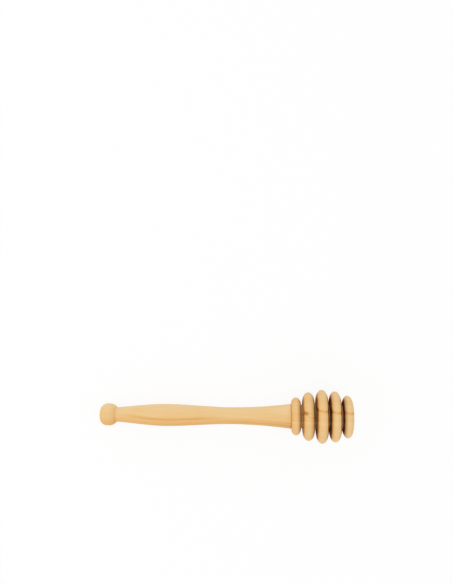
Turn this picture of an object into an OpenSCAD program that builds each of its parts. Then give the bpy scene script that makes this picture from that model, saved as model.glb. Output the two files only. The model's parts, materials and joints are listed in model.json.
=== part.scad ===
// Wooden honey dipper: a turned handle glued into a turned head of five rings.
// Both pieces share one straight axis. The dipper lies as it rests on a table,
// on its knob and on its widest ring, so the axis rises a little towards the head.

/* [Knob] */
// Diameter of the round knob that ends the handle
knob_d = 13.8; // [12:0.1:18]
// Length of the knob, from its end to the neck
knob_len = 10.4; // [9.6:0.1:14]
// Rounding of the knob's outer end
knob_end_round = 4.3; // [2:0.1:4.8]
// Rounding of the knob's back, where it drops to the neck
knob_back_round = 5.2; // [3.5:0.1:6]
// How far the knob's end face bulges inside its rounding
knob_dome = 0.15; // [0.05:0.05:0.5]

/* [Handle] */
// Length of the handle, from the knob's end to the shoulder that meets the head
handle_len = 120.4; // [100:0.1:170]
// Diameter of the neck behind the knob
neck_d = 9.0; // [8:0.1:11]
// Diameter of the swell that fills the hand
swell_d = 13.7; // [12:0.1:17]
// Distance of the swell from the knob's end
swell_at = 41.7; // [34:0.1:50]
// Diameter of the waist between the swell and the head
waist_d = 10.4; // [9:0.1:12]
// Distance of the waist from the knob's end
waist_at = 82.5; // [70:0.1:92]
// Diameter of the shoulder that meets the head
shoulder_d = 15.2; // [13:0.1:18]
// Easing of the shoulder's edge, which shows as the seam line
shoulder_ease = 0.4; // [0.2:0.1:0.8]

/* [Head] */
// Diameter of the first ring, next to the handle
ring_1_d = 23.2; // [21:0.1:28]
// Diameter of the second ring
ring_2_d = 29.7; // [24:0.1:34]
// Diameter of the third ring, the widest
ring_3_d = 32.8; // [28:0.1:38]
// Diameter of the fourth ring
ring_4_d = 31.1; // [26:0.1:35]
// Diameter of the fifth ring, at the tip
ring_5_d = 26.0; // [22:0.1:32]
// Width of the first ring along the axis
ring_1_w = 6.0; // [5:0.05:8]
// Width of the second ring
ring_2_w = 7.45; // [5:0.05:9]
// Width of the third ring
ring_3_w = 7.35; // [5:0.05:9]
// Width of the fourth ring
ring_4_w = 7.0; // [5:0.05:9]
// Width of the fifth ring, up to the flat face at the tip
ring_5_w = 6.6; // [6:0.05:10]
// Width of the slots between the rings, which hold the honey
slot_w = 0.9; // [0.7:0.05:3]
// Diameter of the core at the bottom of the slots
core_d = 14.4; // [12.5:0.1:17]
// Radial depth of the rings' rounded rims
rim_depth = 6.0; // [4.5:0.1:7]
// Diameter of the flat face at the tip
end_face_d = 13.4; // [10:0.1:16]
// How far the head's seat stands out past the handle's shoulder
seat_lip = 0.4; // [0.2:0.1:1]

/* [Joint] */
// Diameter of the round tenon that the handle has inside the head
tenon_d = 8.0; // [6:0.1:9]
// Length of the tenon past the shoulder
tenon_len = 16.0; // [10:0.1:24]
// Chamfer of the tenon's end and of the socket's mouth
tenon_chamfer = 0.6; // [0.3:0.1:1]
// Room for the glue all round the tenon
glue_gap = 0.05; // [0.03:0.01:0.1]
// Depth of the glue well left past the tenon's end
glue_well = 1.5; // [0.5:0.1:4]

/* [Hidden] */

// Faces round each turned piece
$fn = 96;
// Straight steps along each long curve of the handle
curve_steps = 14;
// Straight steps along each rounded corner
corner_steps = 9;
// Steeper than a straight rise by this much, the grip leaves the neck
rise_factor = 0.83;

knob_r = knob_d / 2;
neck_r = neck_d / 2;
swell_r = swell_d / 2;
waist_r = waist_d / 2;
shoulder_r = shoulder_d / 2;
core_r = core_d / 2;
seat_r = shoulder_r + seat_lip;
end_face_r = end_face_d / 2;
tenon_r = tenon_d / 2;
socket_r = tenon_r + glue_gap;

// Every outline is a list of [place along the axis, radius], counted from the
// knob's end. Each piece is its outline turned about the axis.

// A rounded corner: part of an ellipse about a centre, between two angles that
// are counted from straight outwards, growing towards the head
function corner(centre, along, out, from, to) =
    [for (i = [0:corner_steps]) let (a = from + (to - from) * i / corner_steps)
        centre + [along * sin(a), out * cos(a)]];

// A smooth curve between two points with a slope at each, without its first point
function curve(from, to, slope_from, slope_to) =
    let (run = to[0] - from[0])
    [for (i = [1:curve_steps]) let (s = i / curve_steps, t = 1 - s)
        [from[0] + run * s,
         from[1] * (1 + 2 * s) * t * t + to[1] * (1 + 2 * t) * s * s
         + run * s * t * (slope_from * t - slope_to * s)]];

// The same points without those that repeat the one before
function without_repeats(points) =
    [for (i = [0:len(points) - 1])
        if (i == 0 || norm(points[i] - points[i - 1]) > 0.001) points[i]];

// The knob: a slightly domed end, a round corner, a short straight stretch and
// a round back down to the neck
dome_steps = 3;
dome_r = knob_r - knob_end_round;
back_turn = acos(1 - (knob_r - neck_r) / knob_back_round);
knob_outline = concat(
    [for (i = [0:dome_steps - 1]) [knob_dome * pow(i / dome_steps, 2), dome_r * i / dome_steps]],
    corner([knob_dome + knob_end_round, dome_r], knob_end_round, knob_end_round, -90, 0),
    corner([knob_len - knob_back_round * sin(back_turn), knob_r - knob_back_round],
        knob_back_round, knob_back_round, 0, back_turn));

// The grip: out to the swell, in to the waist, and a flare out to the shoulder
flare_end = handle_len - shoulder_ease;
grip_outline = concat(
    curve([knob_len, neck_r], [swell_at, swell_r],
        rise_factor * (swell_r - neck_r) / (swell_at - knob_len), 0),
    curve([swell_at, swell_r], [waist_at, waist_r], 0, 0),
    curve([waist_at, waist_r], [flare_end, shoulder_r],
        0, 2 * (shoulder_r - waist_r) / (flare_end - waist_at)));

// The tenon: the stretch of the handle that the head hides
tenon_end = handle_len + tenon_len;
tenon_outline = [
    [handle_len, shoulder_r - shoulder_ease],
    [handle_len, tenon_r],
    [tenon_end - tenon_chamfer, tenon_r],
    [tenon_end, tenon_r - tenon_chamfer],
    [tenon_end, 0]];

// The rings: each starts where the slot before it ends
ring_radii = [ring_1_d, ring_2_d, ring_3_d, ring_4_d, ring_5_d] / 2;
ring_widths = [ring_1_w, ring_2_w, ring_3_w, ring_4_w, ring_5_w];
ring_count = len(ring_radii);
last = ring_count - 1;
function ring_start(i) = i == 0 ? handle_len : ring_start(i - 1) + ring_widths[i - 1] + slot_w;

// How deep a ring's rim is rounded on its two sides. The first ring rounds down
// to the seat, and the last one down to the flat face at the tip.
function rim(i) = min(rim_depth, ring_radii[i] - core_r);
function near_rim(i) = i == 0 ? ring_radii[i] - seat_r : rim(i);
function far_rim(i) = i == last ? ring_radii[i] - end_face_r : rim(i);

function ring_outline(i) =
    let (r = ring_radii[i], half = ring_widths[i] / 2, middle = ring_start(i) + half,
         floor_before = i == 0 ? [] : [[ring_start(i), core_r]],
         floor_after = i == last ? [] : [[ring_start(i) + 2 * half, core_r]])
    concat(floor_before,
        corner([middle, r - near_rim(i)], half, near_rim(i), -90, 0),
        corner([middle, r - far_rim(i)], half, far_rim(i), 0, 90),
        floor_after);

head_end = ring_start(last) + ring_widths[last];
rings_outline = [for (i = [0:last]) each ring_outline(i)];

// The socket: the blind hole in the head that holds the tenon and a glue well
socket_end = tenon_end + glue_well;
socket_outline = [
    [socket_end, 0],
    [socket_end, socket_r],
    [handle_len + tenon_chamfer, socket_r],
    [handle_len, socket_r + tenon_chamfer]];

// The line of the table touches the knob and the rings from below, so its slope
// is the flattest one that leaves no ring under it
rest_tilt = atan(min([for (k = knob_outline)
    max([for (h = rings_outline) (h[1] - k[1]) / (h[0] - k[0])])]));
all_points = concat(knob_outline, rings_outline);
lowest = min([for (p = all_points) p[0] * sin(rest_tilt) - p[1] * cos(rest_tilt)]);
near_end = min([for (p = all_points) p[0] * cos(rest_tilt) - p[1] * sin(rest_tilt)]);
far_end = max([for (p = all_points) p[0] * cos(rest_tilt) + p[1] * sin(rest_tilt)]);

// Turns an outline about the axis and lays the piece in its resting place. The
// origin is on the table, under the middle of the dipper.
module turned(outline) {
    points = without_repeats(outline);
    translate([-(near_end + far_end) / 2, 0, -lowest])
        rotate([0, 90 - rest_tilt, 0])
            rotate_extrude()
                polygon([for (p = points) [p[1], p[0]]]);
}

module handle() {
    color("#ecc68a") turned(concat(knob_outline, grip_outline, tenon_outline));
}

module head() {
    color("#e9bd80") turned(concat(rings_outline, [[head_end, 0]], socket_outline));
}

handle();
head();
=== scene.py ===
# %% [markdown]
# # A wooden honey dipper
# The dipper is two turned pieces of pale hardwood: a slim handle with a knob, and a head
# of five rounded rings that hold the honey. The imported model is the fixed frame. It gives
# the dipper's resting place, and everything here is built round it in metres.

# %% Load the frame
import json
import math
import bpy
import numpy as np
from mathutils import Matrix, Vector


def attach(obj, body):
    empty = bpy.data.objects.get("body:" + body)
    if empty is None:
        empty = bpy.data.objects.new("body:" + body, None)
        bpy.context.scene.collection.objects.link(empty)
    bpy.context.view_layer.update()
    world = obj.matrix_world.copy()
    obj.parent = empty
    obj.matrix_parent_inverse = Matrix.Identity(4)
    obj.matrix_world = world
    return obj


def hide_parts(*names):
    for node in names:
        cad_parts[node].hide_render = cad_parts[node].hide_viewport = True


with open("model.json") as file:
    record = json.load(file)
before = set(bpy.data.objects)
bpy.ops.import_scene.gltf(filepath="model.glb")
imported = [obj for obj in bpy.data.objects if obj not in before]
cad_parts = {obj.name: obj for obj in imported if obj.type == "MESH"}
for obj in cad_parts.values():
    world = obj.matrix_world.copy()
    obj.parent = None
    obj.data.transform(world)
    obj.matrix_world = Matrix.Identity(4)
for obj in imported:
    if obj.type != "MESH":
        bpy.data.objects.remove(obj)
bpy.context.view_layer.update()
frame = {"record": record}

# %% [markdown]
# ## Where the dipper lies
# A dipper put down on a table rests on its knob and on its widest ring, so its own axis
# rises a little towards the head. The record holds the flat face at the tip as a mount,
# with its place and its direction, and the axis is read from there. Each piece is modelled
# along its own X axis, counted from the knob's end, and one matrix lays it in place. That
# way the grain, which follows the axis of the blank, can be written in the same numbers.

# %% The axis
MM = 0.001
TOTAL_LEN = 158.4 * MM

tip = next(m for m in frame["record"]["mounts"] if m["name"] == "head_end_face")
along = Vector(tip["axis"]).normalized()
knob_end = Vector(tip["pos_m"]) - along * TOTAL_LEN
across = Vector((0, 1, 0))
up = along.cross(across)
to_place = Matrix.Translation(knob_end) @ Matrix((along, across, up)).transposed().to_4x4()
print(f"the axis rises {math.degrees(math.asin(along.z)):.2f} degrees towards the head")

# %% [markdown]
# ## How a turned shape is described
# A lathe makes a shape from one outline: the wood turns, and the gouge cuts the same
# radius all round. So a piece is a list of points, each a place along the axis and a
# radius, made from the few sizes a turner would measure with calipers. Two kinds of line
# are enough for it: a rounded corner, which is part of an ellipse, and a long flowing
# curve that leaves and reaches its ends with a given slope.


# %% Corners and curves
def corner(centre, run, out, start, end, steps=24):
    """Part of an ellipse round a centre, between angles counted from straight outwards."""
    angles = np.radians(np.linspace(start, end, steps + 1))
    return [(centre[0] + run * math.sin(a), centre[1] + out * math.cos(a)) for a in angles]


def curve(p, q, slope_p, slope_q, steps=60):
    """A smooth curve from p to q with a slope at each, without its first point."""
    run = q[0] - p[0]
    points = []
    for s in np.linspace(0, 1, steps + 1)[1:]:
        t = 1 - s
        level = p[1] * (1 + 2 * s) * t * t + q[1] * (1 + 2 * t) * s * s
        points.append((p[0] + run * s, level + run * s * t * (slope_p * t - slope_q * s)))
    return points


# %% [markdown]
# ## The handle
# The knob has a nearly flat end with a generous round, and a softer round at its back
# that drops to the neck. From there the grip swells to fill the hand, thins to a waist
# where two fingers roll the dipper, and flares out to the shoulder that meets the head.
# Past the shoulder a round tenon goes on, hidden inside the head.

# %% The knob
KNOB_R, KNOB_LEN, NECK_R = 6.9 * MM, 10.4 * MM, 4.5 * MM
END_ROUND, BACK_ROUND, DOME = 4.3 * MM, 5.2 * MM, 0.15 * MM

flat_r = KNOB_R - END_ROUND
back_turn = math.acos(1 - (KNOB_R - NECK_R) / BACK_ROUND)
back_centre = (KNOB_LEN - BACK_ROUND * math.sin(back_turn), KNOB_R - BACK_ROUND)
knob = (
    [(DOME * s * s, flat_r * s) for s in (0, 0.25, 0.5, 0.75)]
    + corner((DOME + END_ROUND, flat_r), END_ROUND, END_ROUND, -90, 0)
    + corner(back_centre, BACK_ROUND, BACK_ROUND, 0, math.degrees(back_turn))
)
print("knob:", len(knob), "points, back turned by", round(math.degrees(back_turn), 1), "degrees")

# %% The grip
SWELL_AT, SWELL_R = 41.7 * MM, 6.85 * MM
WAIST_AT, WAIST_R = 82.5 * MM, 5.2 * MM
HANDLE_LEN, SHOULDER_R, EASE = 120.4 * MM, 7.6 * MM, 0.4 * MM
# Slopes at the curve's ends, as shares of the straight rise to the next size.
NECK_RISE, FLARE_RISE = 0.83, 2

neck, swell, waist = (KNOB_LEN, NECK_R), (SWELL_AT, SWELL_R), (WAIST_AT, WAIST_R)
shoulder = (HANDLE_LEN - EASE, SHOULDER_R)
neck_slope = NECK_RISE * (SWELL_R - NECK_R) / (SWELL_AT - KNOB_LEN)
flare_slope = FLARE_RISE * (SHOULDER_R - WAIST_R) / (shoulder[0] - WAIST_AT)
grip = (
    curve(neck, swell, neck_slope, 0)
    + curve(swell, waist, 0, 0)
    + curve(waist, shoulder, 0, flare_slope)
)
print("grip:", len(grip), "points, leaving the neck at a slope of", round(neck_slope, 3))

# %% The tenon
TENON_R, TENON_LEN, CHAMFER = 4.0 * MM, 16.0 * MM, 0.6 * MM

tenon_end = HANDLE_LEN + TENON_LEN
tenon = [
    (HANDLE_LEN, SHOULDER_R - EASE),
    (HANDLE_LEN, TENON_R),
    (tenon_end - CHAMFER, TENON_R),
    (tenon_end, TENON_R - CHAMFER),
    (tenon_end, 0),
]
handle_outline = knob + grip + tenon
print("handle:", len(handle_outline), "points over", round(tenon_end / MM, 1), "mm")

# %% [markdown]
# ## The head
# Five rings are left standing between four narrow slots, cut with a thin parting tool.
# Each rim is rounded over most of its depth, so a ring looks like a fat coin with a soft
# edge. The first ring rounds down to the seat that meets the handle's shoulder, and
# the last one rounds down to the flat face at the tip.

# %% The rings
RING_R = [d / 2 * MM for d in (23.2, 29.7, 32.8, 31.1, 26.0)]
RING_W = [w * MM for w in (6.0, 7.45, 7.35, 7.0, 6.6)]
SLOT_W, CORE_R, RIM_DEPTH = 0.9 * MM, 7.2 * MM, 6.0 * MM
SEAT_LIP, END_FACE_R = 0.4 * MM, 6.7 * MM
LAST = len(RING_R) - 1

rings, starts = [], []
start = HANDLE_LEN
for i, (r, w) in enumerate(zip(RING_R, RING_W)):
    middle = start + w / 2
    rim = min(RIM_DEPTH, r - CORE_R)
    near = r - (SHOULDER_R + SEAT_LIP) if i == 0 else rim
    far = r - END_FACE_R if i == LAST else rim
    rings += [(start, CORE_R)] if i > 0 else []
    rings += corner((middle, r - near), w / 2, near, -90, 0)
    rings += corner((middle, r - far), w / 2, far, 0, 90)
    rings += [(start + w, CORE_R)] if i < LAST else []
    starts.append(start)
    start += w + SLOT_W
print("rings start at", [round(s / MM, 2) for s in starts], "mm")

# %% The socket
GLUE_GAP, GLUE_WELL = 0.05 * MM, 1.5 * MM

socket_r = TENON_R + GLUE_GAP
socket_end = tenon_end + GLUE_WELL
socket = [
    (socket_end, 0),
    (socket_end, socket_r),
    (HANDLE_LEN + CHAMFER, socket_r),
    (HANDLE_LEN, socket_r + CHAMFER),
]
head_outline = socket + rings + [(start - SLOT_W, 0)]
print("head:", len(head_outline), "points, socket", round((socket_end - HANDLE_LEN) / MM, 1), "mm deep")

# %% [markdown]
# ## Turning
# The outline is spun about the X axis into a closed mesh. Points on the axis are kept
# once, so the ends close with triangles. The surface is shaded smooth, and only real
# corners, such as the slots' edges and the eased shoulder, stay sharp.


# %% Spin an outline
FACES_ROUND, SHARP_ANGLE = 192, math.radians(40)


def turned(name, outline, around=FACES_ROUND):
    """A closed mesh: the outline spun about the X axis and laid in its resting place."""
    points = [outline[0]]
    for p in outline[1:]:
        if math.dist(p, points[-1]) > 1e-6:
            points.append(p)
    turns = np.linspace(0, 2 * math.pi, around, endpoint=False)
    verts, rows = [], []
    for x, r in points:
        first = len(verts)
        if r < 1e-7:
            rows.append([first] * around)
            verts.append((x, 0, 0))
        else:
            rows.append(list(range(first, first + around)))
            verts += [(x, r * math.cos(a), r * math.sin(a)) for a in turns]
    faces = []
    for low, high in zip(rows, rows[1:]):
        for k in range(around):
            n = (k + 1) % around
            quad = [low[k], high[k], high[n], low[n]]
            face = [v for j, v in enumerate(quad) if v not in quad[:j]]
            if len(face) > 2:
                faces.append(face)
    mesh = bpy.data.meshes.new(name)
    mesh.from_pydata(verts, [], faces)
    mesh.validate()
    mesh.shade_smooth()
    mesh.set_sharp_from_angle(angle=SHARP_ANGLE)
    piece = bpy.data.objects.new(name, mesh)
    bpy.context.scene.collection.objects.link(piece)
    piece.matrix_world = to_place
    print(name, len(verts), "points", len(faces), "faces")
    return piece


handle = turned("handle_turned", handle_outline)
head = turned("head_turned", head_outline)

# %% [markdown]
# ## The wood
# The real wood is a pale, fine-grained hardwood, turned, sanded and left without varnish,
# so it looks soft and even with a low sheen. What the eye gets from it is a warm cream
# that slips into orange along the darker growth layers, long thin lines that follow the
# blank, and a slightly darker tone where the cut shows end grain.
#
# All of these are one colour at different depths: more pigment takes away blue first,
# then green, and hardly any red. So every feature adds to a single number, the depth of
# tone, and one ramp turns that number into a colour.


# %% Colours and nodes
def linear(code):
    """An sRGB hex colour as linear red, green, blue and alpha."""
    parts = [int(code[i:i + 2], 16) / 255 for i in (1, 3, 5)]
    return [c / 12.92 if c <= 0.04045 else ((c + 0.055) / 1.055) ** 2.4 for c in parts] + [1.0]


def add(tree, kind, settings, inputs, out=0):
    """Add a node, set it up, link or fill its inputs, and return one of its outputs."""
    n = tree.nodes.new("ShaderNode" + kind)
    for key, value in settings.items():
        setattr(n, key, value)
    for key, value in inputs.items():
        if isinstance(value, bpy.types.NodeSocket):
            tree.links.new(value, n.inputs[key])
        else:
            n.inputs[key].default_value = value
    return n.outputs[out]


def calc(tree, operation, *values):
    """The result of one operation on numbers or sockets."""
    return add(tree, "Math", {"operation": operation}, dict(enumerate(values)))


def deepen(tree, tone, feature, depth):
    """The tone with a feature added, at so much depth where the feature is one."""
    return calc(tree, "MULTIPLY_ADD", feature, depth, tone)


def fade(tree, value, nothing, full):
    """A soft step: zero at one value, one at the other."""
    ends = {"Value": value, "From Min": nothing, "From Max": full}
    return add(tree, "MapRange", {"interpolation_type": "SMOOTHSTEP"}, ends)


def scaled(tree, place, cells):
    """The place in cells of noise, with so many to the metre along and across the blank."""
    return add(tree, "VectorMath", {"operation": "MULTIPLY"}, {0: place, 1: cells})


# The ramp goes from the palest sapwood to the dark brown of the painted shade deep in the slots.
TONES = [
    (0.00, "#f7dcaf"), (0.25, "#f1d09c"), (0.45, "#eac386"), (0.62, "#e8b36a"),
    (0.80, "#c58a42"), (1.00, "#743708"),
]
print("tones:", ", ".join(code for _, code in TONES))

# %% [markdown]
# ## Grain
# A tree adds one layer of wood a year, and a blank split along the trunk keeps the layers
# as nearly flat sheets along its length. Here a layer's number is the distance across
# those sheets, bent a little by slow noise, and an uneven line of noise over that number
# makes some layers pale and some dark. Fibres are much finer and about forty times longer
# than wide, and the tone drifts slowly from one side of the blank to the other.

# %% The grain of one blank
# Cells of noise to the metre, along the blank and across it.
BENDS = (17, 110, 110)  # 60 mm long, 9 mm across
FIBRES = (36, 1430, 1430)  # 28 mm long, 0.7 mm across
# How far a sheet rises along the blank, per metre, and how far the slow bends push it.
SHEET_RISE, BEND_SIZE = 0.012, 3.0 * MM
# How much tone the bends, the layers and the fibres can add.
BEND_DEPTH, LAYER_DEPTH, FIBRE_DEPTH = 0.14, 0.28, 0.16


def grain(tree, place, layer_width, lean, seed, drift, depth):
    """The tone before any special mark, the fine fibres, and the distance across the layers."""
    x, y, z = (add(tree, "SeparateXYZ", {}, {0: place}, i) for i in range(3))
    sheet = calc(tree, "MULTIPLY_ADD", z, lean, y)
    slow = scaled(tree, place, BENDS)
    bend = add(tree, "TexNoise", {"noise_dimensions": "4D"}, {"Vector": slow, "W": seed, "Scale": 1.0})
    bent = calc(tree, "MULTIPLY_ADD", x, SHEET_RISE, sheet)
    bent = calc(tree, "MULTIPLY_ADD", bend, BEND_SIZE, bent)
    number = calc(tree, "DIVIDE", bent, layer_width)
    layers = add(tree, "TexNoise", {"noise_dimensions": "1D"}, {"W": number, "Scale": 1.0, "Detail": 3.0})
    fine = scaled(tree, place, FIBRES)
    fibres = add(tree, "TexNoise", {"noise_dimensions": "3D"}, {"Vector": fine, "Scale": 1.0, "Detail": 2.0})
    # Noise is a half on average, so half of what it can add is taken off first. One side
    # of the blank is paler than the other, by the drift, in tone per metre.
    start = depth - (BEND_DEPTH + LAYER_DEPTH + FIBRE_DEPTH) / 2
    tone = calc(tree, "MULTIPLY_ADD", y, -drift, start)
    tone = deepen(tree, tone, bend, BEND_DEPTH)
    tone = deepen(tree, tone, layers, LAYER_DEPTH)
    tone = deepen(tree, tone, fibres, FIBRE_DEPTH)
    return tone, fibres, sheet


def streak(tree, place, sheet, tone, mark):
    """Deepen the tone along one sheet of the blank, from sizes in mm."""
    at, level, slope, half_width, ends, depth = mark
    x = add(tree, "SeparateXYZ", {}, {0: place}, 0)
    line = calc(tree, "MULTIPLY_ADD", x, -slope, sheet)
    off = calc(tree, "SUBTRACT", line, (level - slope * at) * MM)
    band = fade(tree, calc(tree, "ABSOLUTE", off), half_width * MM, 0.0)
    for nothing, full in ends:
        band = calc(tree, "MULTIPLY", band, fade(tree, x, nothing * MM, full * MM))
    return deepen(tree, tone, band, depth)


# %% [markdown]
# ## Finish
# Cut across the fibres, wood drinks in more light, so faces that look along the axis are
# deeper in tone. The lathe and the sandpaper leave faint rings round the piece, and the
# open ends of the fibres leave fine pores along it. Both are only hundredths of a
# millimetre deep, enough to break up the sheen of a sanded, unvarnished surface.
#
# Little light reaches the walls of a slot hardly wider than a parting tool. That shade is painted into their
# colour, as a brown that deepens from the first slot towards the tip.

# %% Turned and sanded surface
END_GRAIN_DEPTH = 0.16
# Painted shade lies on a slot's wall where it faces along the axis: not at all at the first of these
# values, fully at the second. Its depth grows from the first slot to the last.
SLOT_SHADE_FACING, SLOT_SHADE_DEPTH = (0.66, 0.90), (0.22, 0.48)
SMOOTH, ROUGH = 0.50, 0.62
WOOD_IOR = 1.45
# Cells of noise to the metre.
PORES = (500, 6700, 6700)  # 2 mm long, 0.15 mm across
TURNING_MARKS = 2000.0  # 0.5 mm apart
RELIEF, RELIEF_STRENGTH, MARK_SHARE = 0.02 * MM, 0.6, 0.5


def paint_slot_shade(tree, place, end_grain, tone, slots):
    """Painted shade: deepen the tone on the slots' walls, between two places along the axis."""
    x = add(tree, "SeparateXYZ", {}, {0: place}, 0)
    wall = fade(tree, end_grain, *SLOT_SHADE_FACING)
    wall = calc(tree, "MULTIPLY", wall, calc(tree, "GREATER_THAN", x, slots[0]))
    wall = calc(tree, "MULTIPLY", wall, calc(tree, "LESS_THAN", x, slots[1]))
    depth = add(tree, "MapRange", {}, {
        "Value": x, "From Min": slots[0], "From Max": slots[1],
        "To Min": SLOT_SHADE_DEPTH[0], "To Max": SLOT_SHADE_DEPTH[1],
    })
    return deepen(tree, tone, wall, depth)


def finish(material, place, tone, fibres, slots=None):
    """Colour, sheen and fine relief of turned and sanded wood, from its depth of tone."""
    tree = material.node_tree
    shader = tree.nodes["Principled BSDF"]
    facing = add(tree, "TexCoord", {}, {}, "Normal")
    end_grain = calc(tree, "POWER", add(tree, "SeparateXYZ", {}, {0: facing}, 0), 2.0)
    tone = deepen(tree, tone, end_grain, END_GRAIN_DEPTH)
    # Painted shade on the slots' walls, when the slots are given.
    if slots:
        tone = paint_slot_shade(tree, place, end_grain, tone, slots)
    ramp = tree.nodes.new("ShaderNodeValToRGB")
    while len(ramp.color_ramp.elements) < len(TONES):
        ramp.color_ramp.elements.new(1.0)
    for element, (position, code) in zip(ramp.color_ramp.elements, TONES):
        element.position = position
        element.color = linear(code)
    tree.links.new(tone, ramp.inputs[0])
    tree.links.new(ramp.outputs[0], shader.inputs["Base Color"])
    # Pale fibres are a little smoother than dark, open-pored ones.
    sheen = add(tree, "MapRange", {}, {"Value": fibres, "To Min": SMOOTH, "To Max": ROUGH})
    tree.links.new(sheen, shader.inputs["Roughness"])
    shader.inputs["IOR"].default_value = WOOD_IOR
    pores = scaled(tree, place, PORES)
    pores = add(tree, "TexNoise", {"noise_dimensions": "3D"}, {"Vector": pores, "Scale": 1.0})
    x = add(tree, "SeparateXYZ", {}, {0: place}, 0)
    marks = add(tree, "TexNoise", {"noise_dimensions": "1D"}, {"W": x, "Scale": TURNING_MARKS})
    relief = calc(tree, "MULTIPLY_ADD", marks, MARK_SHARE, pores)
    bump = {"Height": relief, "Distance": RELIEF, "Strength": RELIEF_STRENGTH}
    tree.links.new(add(tree, "Bump", {}, bump), shader.inputs["Normal"])


def new_wood(name):
    """An empty wood material, its nodes, and the place on the piece in its own metres."""
    wood = bpy.data.materials.new(name)
    wood.use_nodes = True
    return wood, wood.node_tree, add(wood.node_tree, "TexCoord", {}, {}, "Object")


# %% [markdown]
# ### Handle: pale hardwood, turned and sanded
# The handle's upper side is a clean cream. Low on the grip one orange growth layer runs
# from behind the knob past the swell, and thin lines fan out from it towards the
# shoulder. Those lines are what makes the eye read straight, long-fibred wood.

# %% The handle's wood
# Each streak in mm: a place along the axis and the sheet it lies on there, its slope and
# its half width, the places where it fades from nothing to full, and its depth of tone.
HANDLE_STREAKS = [
    (40, 5.4, -0.012, 2.0, [(12, 24), (84, 62)], 0.17),
    (90, 3.6, 0.010, 0.9, [(50, 80)], 0.10),
    (90, 2.0, 0.004, 0.8, [(60, 85)], 0.10),
    (90, 0.8, 0.0, 0.7, [(45, 70)], 0.08),
    (18, 8.3, 0.045, 1.0, [(12, 15), (30, 22)], 0.10),
]

handle_wood, tree, place = new_wood("pale_hardwood_handle")
tone, fibres, sheet = grain(tree, place, 2.4 * MM, lean=1.05, seed=3.1, drift=28, depth=0.48)
for mark in HANDLE_STREAKS:
    tone = streak(tree, place, sheet, tone, mark)
finish(handle_wood, place, tone, fibres)
print("handle wood:", len(tree.nodes), "nodes,", len(HANDLE_STREAKS), "streaks")

# %% [markdown]
# ### Head: pale hardwood with a small knot, turned and sanded
# The head comes from another piece of the same wood. A small knot sits on the second
# ring, where a twig once grew, with a thin arc of bent fibres beside it. From there a
# dark growth layer runs on over the third, fourth and fifth rings. It lies in the same
# place on each, which shows that all the rings are cut from one blank.

# %% The head's wood
HEAD_STREAKS = [
    (139.0, 5.9, -0.10, 1.5, [(131, 139)], 0.24),  # the dark growth layer
    (131.5, 2.3, -0.30, 0.6, [(129, 130), (136, 134)], 0.14),  # the arc beside the knot
]
# The blank gets a little paler towards the tip: the tone changes by so much per metre
# from the middle of the head on.
HEAD_MIDDLE, HEAD_FADE = 137 * MM, -3.0
# The knot's heart, how far it stretches in each direction, and where its tone fades out.
KNOT_AT, KNOT_STRETCH = (129.4 * MM, 4.4 * MM, 13 * MM), (0.8, 1.0, 0.15)
KNOT_EDGE, KNOT_HEART, KNOT_DEPTH = 2.0 * MM, 0.3 * MM, 0.28

head_wood, tree, place = new_wood("pale_hardwood_head")
tone, fibres, _ = grain(tree, place, 2.8 * MM, lean=-0.2, seed=7.7, drift=0, depth=0.43)
x, y = (add(tree, "SeparateXYZ", {}, {0: place}, i) for i in range(2))
tone = deepen(tree, tone, calc(tree, "SUBTRACT", x, HEAD_MIDDLE), HEAD_FADE)
for mark in HEAD_STREAKS:
    tone = streak(tree, place, y, tone, mark)
from_knot = add(tree, "VectorMath", {"operation": "SUBTRACT"}, {0: place, 1: KNOT_AT})
from_knot = add(tree, "VectorMath", {"operation": "MULTIPLY"}, {0: from_knot, 1: KNOT_STRETCH})
from_knot = add(tree, "VectorMath", {"operation": "LENGTH"}, {0: from_knot}, "Value")
tone = deepen(tree, tone, fade(tree, from_knot, KNOT_EDGE, KNOT_HEART), KNOT_DEPTH)
# Where the painted shade on the slots' walls begins and ends along the axis.
slots = (starts[1] - SLOT_W - MM, starts[LAST] + MM)
finish(head_wood, place, tone, fibres, slots)
print("head wood:", len(tree.nodes), "nodes, painted_slot_shade from", [round(s / MM, 1) for s in slots], "mm")

# %% [markdown]
# ## Which piece stands for what
# Each turned piece replaces the CAD node of the same name, which is hidden, takes its own
# wood as its material and rides the one rigid body of the dipper, since nothing on it moves.

# %% Join the pieces to the frame
for piece, node, slot, wood in (
    (handle, "handle", "handle_wood", handle_wood),
    (head, "head", "head_wood", head_wood),
):
    piece.data.materials.append(wood)
    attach(piece, "root")
    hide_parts(node)

# %% [markdown]
# ## The stage
# The dipper lies on a plain white table. For the camera, and in reflections, the table is
# mostly its own even white, mixed with some of the light that really falls on it, so the
# soft shadow stays. What it throws back on the dipper comes from the true matt surface.

# %% The table
TABLE_SIZE, TABLE_TONE, TABLE_ROUGH = 6, 0.95, 0.9
EVEN_WHITE = 0.88


def white_rays(tree):
    """One for rays from the camera, off a glossy surface or through a clear one, else zero."""
    rays = ("Is Camera Ray", "Is Glossy Ray", "Is Transmission Ray")
    seen, glossy, clear = (add(tree, "LightPath", {}, {}, kind) for kind in rays)
    return calc(tree, "MAXIMUM", calc(tree, "MAXIMUM", seen, glossy), clear)


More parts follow.
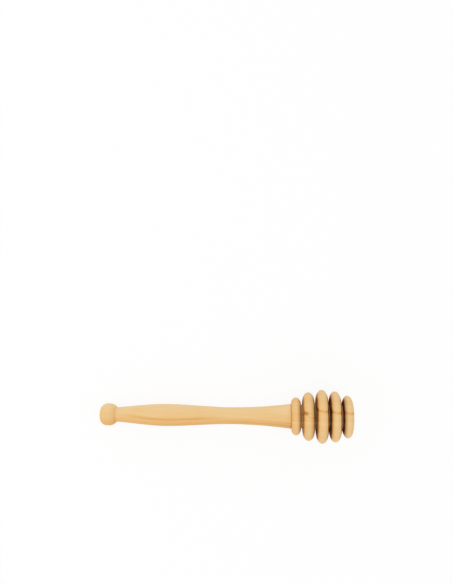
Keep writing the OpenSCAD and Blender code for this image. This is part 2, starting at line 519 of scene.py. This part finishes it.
bpy.ops.mesh.primitive_plane_add(size=TABLE_SIZE, location=(0, 0, 0))
floor = bpy.context.object
floor.name = "floor"
table = bpy.data.materials.new("matt_white_table")
table.use_nodes = True
tree = table.node_tree
matt = tree.nodes["Principled BSDF"]
matt.inputs["Base Color"].default_value = (TABLE_TONE, TABLE_TONE, TABLE_TONE, 1)
matt.inputs["Roughness"].default_value = TABLE_ROUGH
white = add(tree, "Emission", {}, {"Strength": 1.0})
share = calc(tree, "MULTIPLY", white_rays(tree), EVEN_WHITE)
surface = add(tree, "MixShader", {}, {0: share, 1: matt.outputs[0], 2: white})
tree.links.new(surface, tree.nodes["Material Output"].inputs[0])
floor.data.materials.append(table)
print("table:", TABLE_SIZE, "m square,", round(EVEN_WHITE * 100), "percent even white")

# %% [markdown]
# ## Light
# The photo was taken in very soft, even light: the red channel hardly changes over the
# whole dipper. A white sky gives most of it, and a large, weak softbox beyond the knob
# adds a gentle fall of tone round the turned shapes. The camera sees the sky as white.

# %% Sky and softbox
SKY_LIGHT, SKY_SEEN = 0.93, 1.0
LAMP_POWER, LAMP_AT = 0.7, (-0.5, 0.05, 0.6)

world = bpy.data.worlds.new("white_sky")
bpy.context.scene.world = world
world.use_nodes = True
tree = world.node_tree
sky = tree.nodes["Background"]
sky.inputs["Color"].default_value = (1, 1, 1, 1)
strength = calc(tree, "MULTIPLY_ADD", white_rays(tree), SKY_SEEN - SKY_LIGHT, SKY_LIGHT)
tree.links.new(strength, sky.inputs["Strength"])

softbox = bpy.data.lights.new("softbox", "AREA")
softbox.shape = "RECTANGLE"
softbox.size, softbox.size_y = 0.8, 0.5
softbox.energy = LAMP_POWER
lamp = bpy.data.objects.new("softbox", softbox)
lamp.location = LAMP_AT
lamp.rotation_euler = Vector(LAMP_AT).to_track_quat("Z", "Y").to_euler()
bpy.context.scene.collection.objects.link(lamp)
print("sky at", SKY_LIGHT, "and a softbox of", LAMP_POWER, "W")

# %% [markdown]
# ## Camera
# The photo looks straight down from about 40 cm. The dipper lies well below the middle of
# the picture, so the side that faces the middle shows more than the other, and the raised
# head looks a little lower than the knob. The focal length is kept in pixels of the
# photo's longer side, because that is how it was measured.

# %% Straight down
FOCAL_PX, PHOTO_H, SENSOR = 660.0, 584, 36.0
CAM_X, CAM_Y, CAM_HEIGHT, ROLL = 0.0005, 0.0774, 0.4256, -0.12

camera = bpy.data.cameras.new("camera")
camera.sensor_width = SENSOR
camera.lens = FOCAL_PX / PHOTO_H * SENSOR
camera.clip_start = 0.01
cam = bpy.data.objects.new("camera", camera)
cam.location = (CAM_X, CAM_Y, CAM_HEIGHT)
cam.rotation_euler = (0, 0, math.radians(ROLL))
bpy.context.scene.collection.objects.link(cam)
bpy.context.scene.camera = cam
bpy.context.scene.view_settings.view_transform = "Standard"
print("lens", round(camera.lens, 1), "mm at", round(CAM_HEIGHT / MM, 1), "mm")
